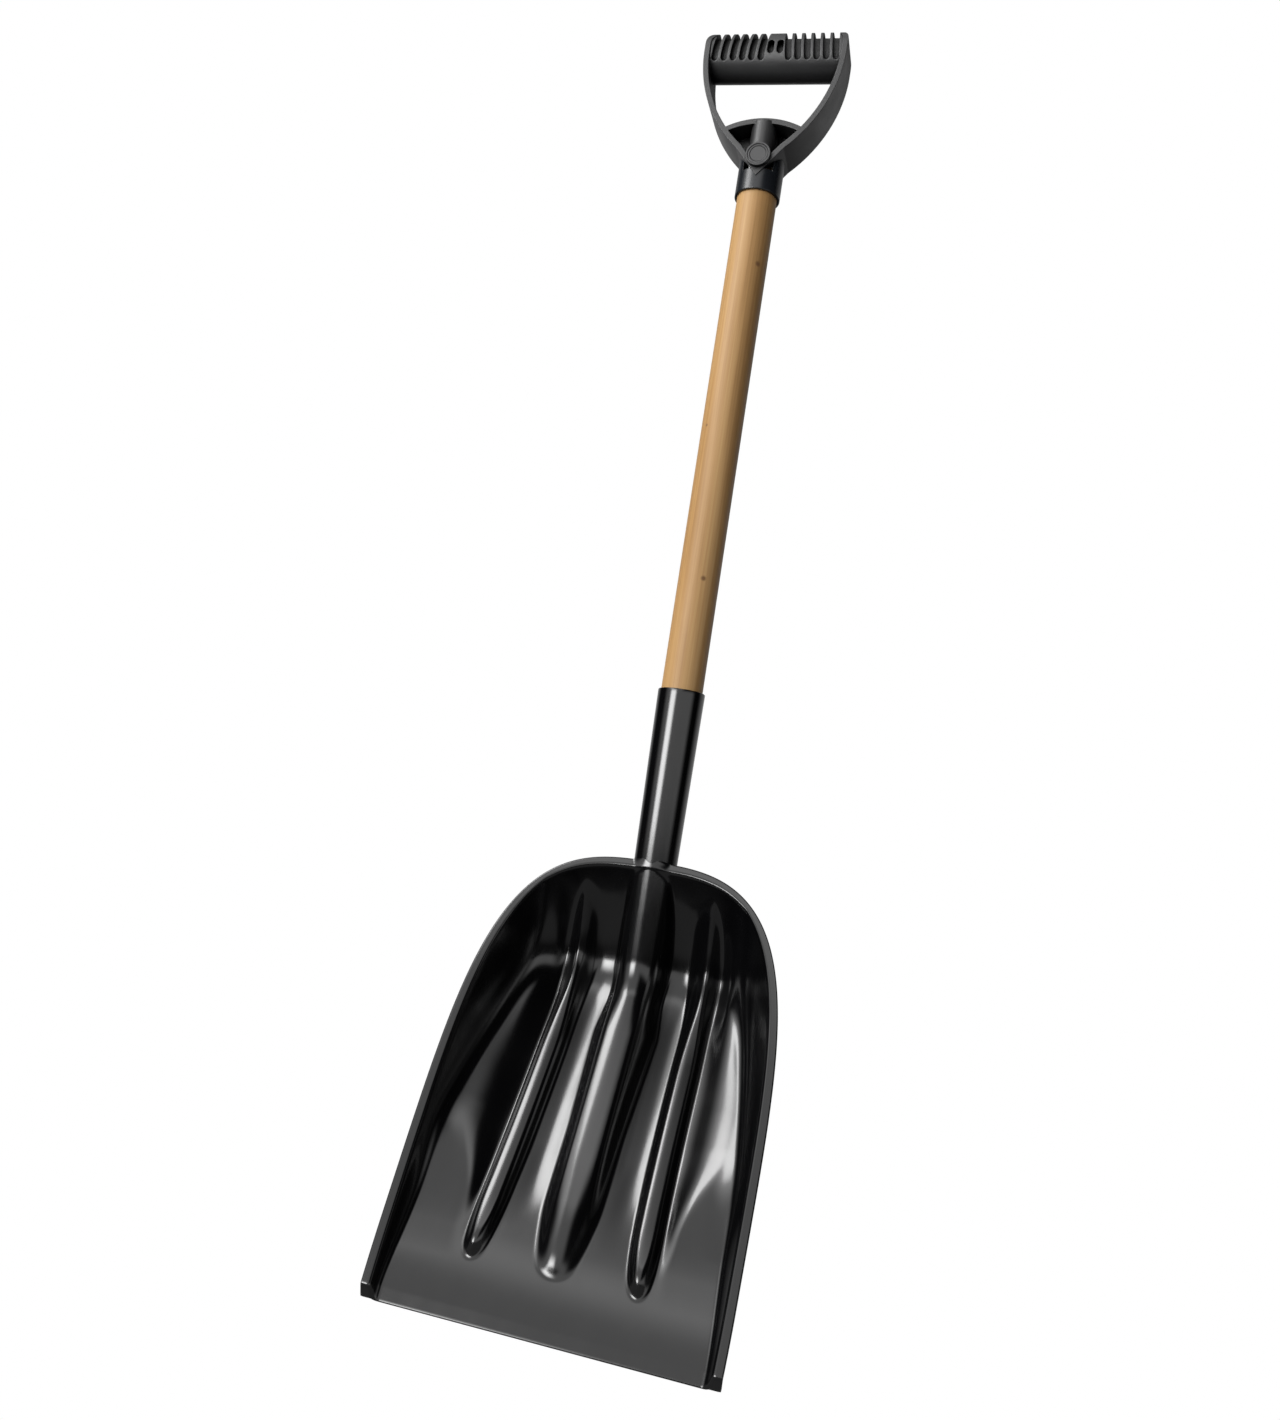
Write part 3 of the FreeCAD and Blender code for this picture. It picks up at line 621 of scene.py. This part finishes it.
def black_gloss(name, colour, roughness, grain):
    """Polished plastic with faint handling smears."""
    material, tree, shader = new_material(name)
    place = coordinates(tree)
    cloud = noise(tree, place, scale=14.0, detail=5.0)
    tint = cloudy_tint(tree, cloud, colour, darkest=0.8, lightest=1.25)
    tree.links.new(tint, shader.inputs["Base Color"])
    smear = noise(tree, coordinates(tree, SMEAR_STRETCH), scale=45.0, detail=6.0, rough=0.6)
    tree.links.new(remap(tree, smear, SPAN, roughness), shader.inputs["Roughness"])
    fine = noise(tree, place, scale=1400.0, detail=2.0)
    bump(tree, shader, fine, strength=grain, distance=0.0002, edge_radius=0.0006)
    shader.inputs["IOR"].default_value = 1.5
    return material


def worn_edges(tree, radius):
    """0 on flat stretches and up to 1 on sharp edges."""
    flat = add(tree, "ShaderNodeNewGeometry")
    alike = add(tree, "ShaderNodeVectorMath", operation="DOT_PRODUCT")
    tree.links.new(round_edges(tree, radius), alike.inputs[0])
    tree.links.new(flat.outputs["Normal"], alike.inputs[1])
    return remap(tree, alike.outputs["Value"], (0.7, 0.98), (1.0, 0.0))


def satin_plastic_with_painted_shade(name, colour, rough):
    """Finely grained plastic, lighter on worn edges, with painted shade that darkens it deep in its
    recesses.
    """
    material, tree, shader = new_material(name)
    place = coordinates(tree)
    cloud = noise(tree, place, scale=30.0, detail=5.0)
    tint = cloudy_tint(tree, cloud, colour, darkest=0.85, lightest=1.2)
    bare = (*[c * WORN_LIGHTER for c in colour], 1.0)
    worn = mix_colour(tree, worn_edges(tree, radius=0.0008), tint, bare)
    # Painted shade: ambient occlusion darkens the base colour deep in recesses, and also lowers the
    # specular level there.
    openness = add(tree, "ShaderNodeAmbientOcclusion", samples=8)
    openness.inputs["Distance"].default_value = PAINTED_SHADE_REACH
    shade = remap(tree, openness.outputs["AO"], (0.35, 0.85), (0.1, 1.0))
    tree.links.new(mix_colour(tree, 1.0, worn, shade, "MULTIPLY"), shader.inputs["Base Color"])
    roughness = remap(tree, cloud, SPAN, (rough - ROUGHNESS_DRIFT, rough + ROUGHNESS_DRIFT))
    tree.links.new(roughness, shader.inputs["Roughness"])
    gleam = remap(tree, openness.outputs["AO"], (0.3, 0.8), (0.05, 0.5))
    tree.links.new(gleam, shader.inputs["Specular IOR Level"])
    fine = noise(tree, place, scale=1100.0, detail=3.0)
    bump(tree, shader, fine, strength=0.25, distance=0.0003, edge_radius=0.0012)
    return material


def ringed_cap(name, colour, rough):
    """Satin plastic with a shallow round step near the edge of the cap's face."""
    material = satin_plastic_with_painted_shade(name, colour, rough)
    tree = material.node_tree
    low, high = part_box("grip_cap")
    middle = 0.5 * (low + high)
    radius = 0.5 * (high.x - low.x)
    place = add(tree, "ShaderNodeTexCoord").outputs["Object"]
    spread = add(tree, "ShaderNodeVectorMath", operation="MULTIPLY_ADD")
    tree.links.new(place, spread.inputs[0])
    spread.inputs[1].default_value = (1.0, 0.0, 1.0)
    spread.inputs[2].default_value = (-middle.x, 0.0, -middle.z)
    reach = add(tree, "ShaderNodeVectorMath", operation="LENGTH")
    tree.links.new(spread.outputs["Vector"], reach.inputs[0])
    ring = [share * radius for share in CAP_RING]
    rim = remap(tree, reach.outputs["Value"], ring, (0.0, 1.0))
    relief = add(tree, "ShaderNodeBump")
    relief.inputs["Distance"].default_value = CAP_RING_DEPTH
    tree.links.new(rim, relief.inputs["Height"])
    shader = tree.nodes["Principled BSDF"]
    grain = shader.inputs["Normal"].links[0].from_node
    tree.links.new(grain.outputs["Normal"], relief.inputs["Normal"])
    tree.links.new(relief.outputs["Normal"], shader.inputs["Normal"])
    return material


def knot_mask(tree, place, x, z, radius):
    """1 at a small knot on the front of the shaft, 0 a little away from it."""
    spot = add(tree, "ShaderNodeVectorMath", operation="DISTANCE")
    tree.links.new(place, spot.inputs[0])
    y = AXIS_Y * MM - math.sqrt((SHAFT_R * MM) ** 2 - x * x)
    spot.inputs[1].default_value = (x, y, z)
    return remap(tree, spot.outputs["Value"], (0.4 * radius, radius), (1.0, 0.0))


def lacquered_wood(name):
    """Pale hardwood with long fibres along the shaft, a few knots and a thin clear coat."""
    material, tree, shader = new_material(name)
    streak = noise(tree, coordinates(tree, FIBRE_STRETCH), scale=520.0, detail=5.0, rough=0.6)
    broad = noise(tree, coordinates(tree, BROAD_STRETCH), scale=60.0, detail=4.0)
    half_broad = math_node(tree, "MULTIPLY", broad, 0.5)
    mixed = math_node(tree, "MULTIPLY_ADD", streak, 0.5, half_broad)
    colour = ramp(tree, mixed, list(zip(WOOD_STOPS, (WOOD_DARK, WOOD_MIDDLE, WOOD_LIGHT))))
    place = add(tree, "ShaderNodeTexCoord").outputs["Object"]
    for x, z, radius in KNOTS:
        colour = mix_colour(tree, knot_mask(tree, place, x, z, radius), colour, (*KNOT_BROWN, 1.0))
    tree.links.new(colour, shader.inputs["Base Color"])
    tree.links.new(remap(tree, streak, SPAN, WOOD_ROUGHNESS), shader.inputs["Roughness"])
    shader.inputs["Specular IOR Level"].default_value = 0.22
    shader.inputs["Coat Weight"].default_value = 0.04
    shader.inputs["Coat Roughness"].default_value = 0.4
    bump(tree, shader, streak, strength=0.12, distance=0.0004)
    return material


def zinc_steel(name):
    material, tree, shader = new_material(name)
    cloud = noise(tree, coordinates(tree), scale=400.0, detail=4.0)
    tree.links.new(two_tone(tree, cloud, ZINC_DARK, ZINC_LIGHT), shader.inputs["Base Color"])
    shader.inputs["Metallic"].default_value = 1.0
    tree.links.new(remap(tree, cloud, SPAN, ZINC_ROUGHNESS), shader.inputs["Roughness"])
    return material


# ---------------------------------------------------------------------------
# Pieces


def dress(node, material):
    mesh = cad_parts[node].data
    if mesh.materials:
        mesh.materials[0] = material
    else:
        mesh.materials.append(material)


def build_pieces():
    """The blade as a fine mesh in place of its CAD node. The other nodes keep their meshes."""
    blade_plastic = black_gloss("blade_plastic", BLADE_BLACK, BLADE_ROUGHNESS, grain=0.04)
    ferrule_plastic = black_gloss("ferrule_plastic", FERRULE_BLACK, FERRULE_ROUGHNESS, grain=0.05)
    screw_steel = zinc_steel("screw_steel")
    for piece in (build_scoop(blade_plastic), build_socket(blade_plastic)):
        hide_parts("blade")
        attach(piece, "root")
    dress("shaft", lacquered_wood("shaft_wood"))
    dress("ferrule", ferrule_plastic)
    dress("grip", satin_plastic_with_painted_shade("grip_plastic", GRIP_BLACK, GRIP_ROUGHNESS))
    dress("grip_cap", ringed_cap("cap_plastic", GRIP_BLACK, GRIP_ROUGHNESS))
    dress("grip_screw", screw_steel)
    dress("socket_screw", screw_steel)


# ---------------------------------------------------------------------------
# Studio, in degrees: azimuth 0 is in front of the scoop and positive to the right. Each border
# of a patch is (where it has faded out, where it is full). The camera sees plain white.

WHITE = (1.0, 1.0, 1.0, 1.0)
DARKEST = 0.004

WALL_LIGHT = 1.5
WALL_LEFT = (-75.0, -50.0)
WALL_RIGHT = (32.0, 8.0)
WALL_LOW = (-20.0, -8.0)
WALL_HIGH = (68.0, 56.0)
LOW_WALL_RIGHT = (85.0, 60.0)
LOW_WALL_HIGH = (18.0, 8.0)
WINDOW_LIGHT = 20.0
WINDOW = dict(left=(-45.0, -33.0), right=(-8.0, -21.0), low=(-18.0, 1.0), high=(22.0, 3.0))
BAND_LIGHT = 1.7
BAND = dict(left=(-75.0, -45.0), right=(40.0, 5.0), low=(38.0, 47.0), high=(56.0, 47.0))
GLOW_LIGHT = 3.6
GLOW = dict(left=(-88.0, -60.0), right=(-28.0, -50.0), low=(20.0, 42.0), high=(74.0, 54.0))
BACKDROP_LIGHT = 0.6
BACKDROP_SIDE = (105.0, 135.0)   # behind the shovel, the same on the left and the right
BACKDROP_HIGH = (45.0, 20.0)
CEILING_LIGHT = 0.9
CEILING_LOW = (68.0, 76.0)

FLOOR_REACH = 12.0
FLOOR_GAP = 0.0005
FLOOR_GLOW = (0.3, 0.05)         # near the shovel and far from it
FLOOR_GLOW_REACH = (0.55, 1.1)


def fade(tree, angle, faded, full):
    """0 at one angle, 1 at the other, smooth between them."""
    given = sorted((math.radians(faded), math.radians(full)))
    wanted = (0.0, 1.0) if faded < full else (1.0, 0.0)
    return remap(tree, angle, given, wanted, interpolation_type="SMOOTHSTEP")


def patch(tree, azimuth, elevation, left, right, low, high):
    """Share of light in a soft-edged patch of the studio's wall."""
    return product(
        tree,
        fade(tree, azimuth, *left),
        fade(tree, azimuth, *right),
        fade(tree, elevation, *low),
        fade(tree, elevation, *high),
    )


def front_wall(tree, azimuth, elevation):
    """A broad soft wall in front, which reaches further to the right low down."""
    low_right = product(tree, fade(tree, azimuth, *LOW_WALL_RIGHT), fade(tree, elevation, *LOW_WALL_HIGH))
    width = math_node(tree, "MAXIMUM", low_right, fade(tree, azimuth, *WALL_RIGHT))
    return product(
        tree,
        width,
        fade(tree, azimuth, *WALL_LEFT),
        fade(tree, elevation, *WALL_LOW),
        fade(tree, elevation, *WALL_HIGH),
    )


def studio_light(tree):
    """Strength of the light from every direction."""
    source = add(tree, "ShaderNodeTexCoord")
    parts = add(tree, "ShaderNodeSeparateXYZ")
    tree.links.new(source.outputs["Generated"], parts.inputs[0])
    forward = math_node(tree, "MULTIPLY", parts.outputs["Y"], -1.0)
    azimuth = math_node(tree, "ARCTAN2", parts.outputs["X"], forward)
    elevation = math_node(tree, "ARCSINE", parts.outputs["Z"])
    to_the_side = math_node(tree, "ABSOLUTE", azimuth)
    backdrop_side = fade(tree, to_the_side, *BACKDROP_SIDE)
    backdrop = product(tree, backdrop_side, fade(tree, elevation, *BACKDROP_HIGH))
    patches = (
        (patch(tree, azimuth, elevation, **WINDOW), WINDOW_LIGHT),
        (patch(tree, azimuth, elevation, **BAND), BAND_LIGHT),
        (backdrop, BACKDROP_LIGHT),
        (patch(tree, azimuth, elevation, **GLOW), GLOW_LIGHT),
        (fade(tree, elevation, *CEILING_LOW), CEILING_LIGHT),
    )
    wall = front_wall(tree, azimuth, elevation)
    level = math_node(tree, "MULTIPLY_ADD", wall, WALL_LIGHT, DARKEST)
    for share, strength in patches:
        level = math_node(tree, "MULTIPLY_ADD", share, strength, level)
    return level


def white_to_camera(tree, kind, strength, output_kind):
    """White for the camera, and light of the given strength for everything else."""
    path = add(tree, "ShaderNodeLightPath")
    seen = add(tree, kind)
    seen.inputs["Color"].default_value = WHITE
    seen.inputs["Strength"].default_value = 1.0
    light = add(tree, kind)
    light.inputs["Color"].default_value = WHITE
    tree.links.new(strength, light.inputs["Strength"])
    mix = add(tree, "ShaderNodeMixShader")
    tree.links.new(path.outputs["Is Camera Ray"], mix.inputs["Fac"])
    tree.links.new(light.outputs[0], mix.inputs[1])
    tree.links.new(seen.outputs[0], mix.inputs[2])
    out = add(tree, output_kind)
    tree.links.new(mix.outputs[0], out.inputs["Surface"])


def build_world():
    world = bpy.data.worlds.new("studio")
    bpy.context.scene.world = world
    world.use_nodes = True
    tree = world.node_tree
    tree.nodes.clear()
    white_to_camera(tree, "ShaderNodeBackground", studio_light(tree), "ShaderNodeOutputWorld")


def build_floor():
    """Plain pale floor that glows faintly round the shovel and is dark further out."""
    centre = 0.5 * (cad_low + cad_high)
    level = cad_low.z - FLOOR_GAP
    corners = [(-1, -1), (1, -1), (1, 1), (-1, 1)]
    points = [(centre.x + x * FLOOR_REACH, centre.y + y * FLOOR_REACH, level) for x, y in corners]
    material = bpy.data.materials.new("pale_floor")
    material.use_nodes = True
    tree = material.node_tree
    tree.nodes.clear()
    place = add(tree, "ShaderNodeNewGeometry")
    reach = add(tree, "ShaderNodeVectorMath", operation="LENGTH")
    tree.links.new(place.outputs["Position"], reach.inputs[0])
    near = remap(
        tree,
        reach.outputs["Value"],
        FLOOR_GLOW_REACH,
        FLOOR_GLOW,
        interpolation_type="SMOOTHSTEP",
    )
    white_to_camera(tree, "ShaderNodeEmission", near, "ShaderNodeOutputMaterial")
    mesh_object("floor", points, [(0, 1, 2, 3)], material, smooth=False)


def softbox(name, azimuth, elevation, distance, target, width, height, radiance):
    """Square-cornered area light that faces its target."""
    a = math.radians(azimuth)
    e = math.radians(elevation)
    towards = Vector((math.sin(a) * math.cos(e), -math.cos(a) * math.cos(e), math.sin(e)))
    data = bpy.data.lights.new(name, "AREA")
    data.shape = "RECTANGLE"
    data.size = width
    data.size_y = height
    data.energy = radiance * math.pi * width * height
    lamp = bpy.data.objects.new(name, data)
    lamp.location = target + towards * distance
    lamp.rotation_mode = "QUATERNION"
    lamp.rotation_quaternion = towards.to_track_quat("Z", "Y")
    bpy.context.scene.collection.objects.link(lamp)
    return lamp


def build_lights():
    """A high light on the left, and a soft one beside the shaft that is never seen mirrored."""
    scoop_middle = Vector((0.0, 0.5 * AXIS_Y * MM, 0.2))
    shaft_middle = Vector((0.0, AXIS_Y * MM, 0.8))
    softbox(
        "left_high",
        azimuth=-51.0,
        elevation=47.0,
        distance=1.8,
        target=scoop_middle,
        width=0.5,
        height=0.5,
        radiance=11.0,
    )
    left_soft = softbox(
        "left_soft",
        azimuth=-72.0,
        elevation=8.0,
        distance=2.2,
        target=shaft_middle,
        width=0.7,
        height=1.4,
        radiance=7.0,
    )
    left_soft.visible_glossy = False


# ---------------------------------------------------------------------------
# Camera: low and a little to the right, looking slightly up and rolled, so the shaft leans

CAMERA_PLACE = Vector((0.2485, -0.9418, 0.3868))
CAMERA_RIGHT = Vector((0.961, 0.22998, 0.15358))
CAMERA_DOWN = Vector((0.12168, 0.14709, -0.98161))
CAMERA_FORWARD = Vector((-0.24834, 0.96202, 0.11337))
CAMERA_LENS = 30.42
CAMERA_SENSOR = 36.0


def build_camera():
    data = bpy.data.cameras.new("camera")
    data.sensor_width = CAMERA_SENSOR
    data.lens = CAMERA_LENS
    camera = bpy.data.objects.new("camera", data)
    camera.rotation_mode = "QUATERNION"
    turn = Matrix((CAMERA_RIGHT, -CAMERA_DOWN, -CAMERA_FORWARD)).transposed()
    camera.rotation_quaternion = turn.to_quaternion()
    camera.location = CAMERA_PLACE
    bpy.context.scene.collection.objects.link(camera)
    bpy.context.scene.camera = camera


build_pieces()
bpy.context.scene.view_settings.view_transform = "Standard"
build_world()
build_floor()
build_lights()
build_camera()
